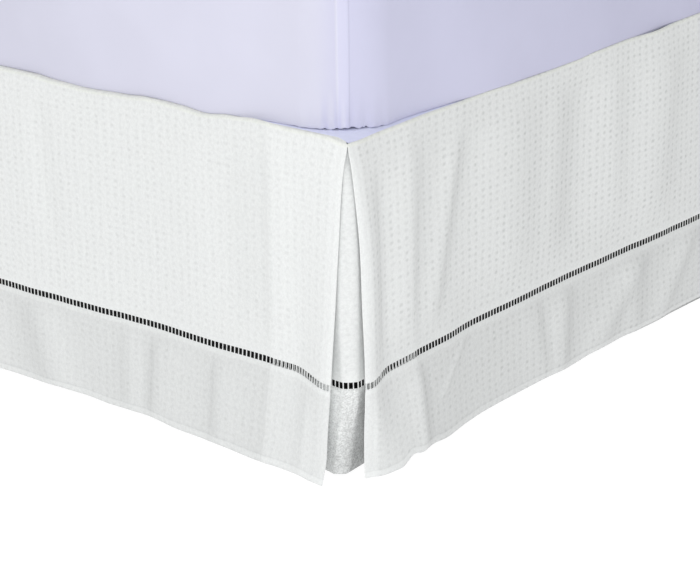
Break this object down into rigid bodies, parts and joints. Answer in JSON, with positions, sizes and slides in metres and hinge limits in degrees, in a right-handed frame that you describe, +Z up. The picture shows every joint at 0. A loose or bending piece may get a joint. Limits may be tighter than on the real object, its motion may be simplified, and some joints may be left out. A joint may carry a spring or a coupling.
{
  "type": "bed skirt on a bed base with its mattress",
  "caption": "White pique bed skirt with slit corners, gussets and an open hemstitch border, hanging from its deck between a plain bed base and mattress.",
  "frame": {"origin": "on the floor, in the middle of the centre foot's underside, below the middle of the bed", "axes": "+X across the bed to its right side seen from the foot, +Y along the bed to the head, +Z up"},
  "size_m": [1.5736, 2.0651, 0.6313],
  "materials": {
    "white_pique": "matt cotton pique with small sunk dots in even rows",
    "deck_cloth": "matt plain weave",
    "mattress_cover": "matt fine plain weave",
    "base_cloth": "matt dark upholstery",
    "dark_wood": "dark stained, satin"
  },
  "bodies": {
    "root": {"deck": "deck_cloth", "foot_panel": "white_pique", "side_panel_right": "white_pique", "side_panel_left": "white_pique", "corner_gusset_right": "white_pique", "corner_gusset_left": "white_pique", "mattress": "mattress_cover", "base": "base_cloth", "base_foot_1_1": "dark_wood", "base_foot_1_2": "dark_wood", "base_foot_1_3": "dark_wood", "base_foot_2_1": "dark_wood", "base_foot_2_2": "dark_wood", "base_foot_2_3": "dark_wood", "base_foot_3_1": "dark_wood", "base_foot_3_2": "dark_wood", "base_foot_3_3": "dark_wood"}
  },
  "joints": []
}
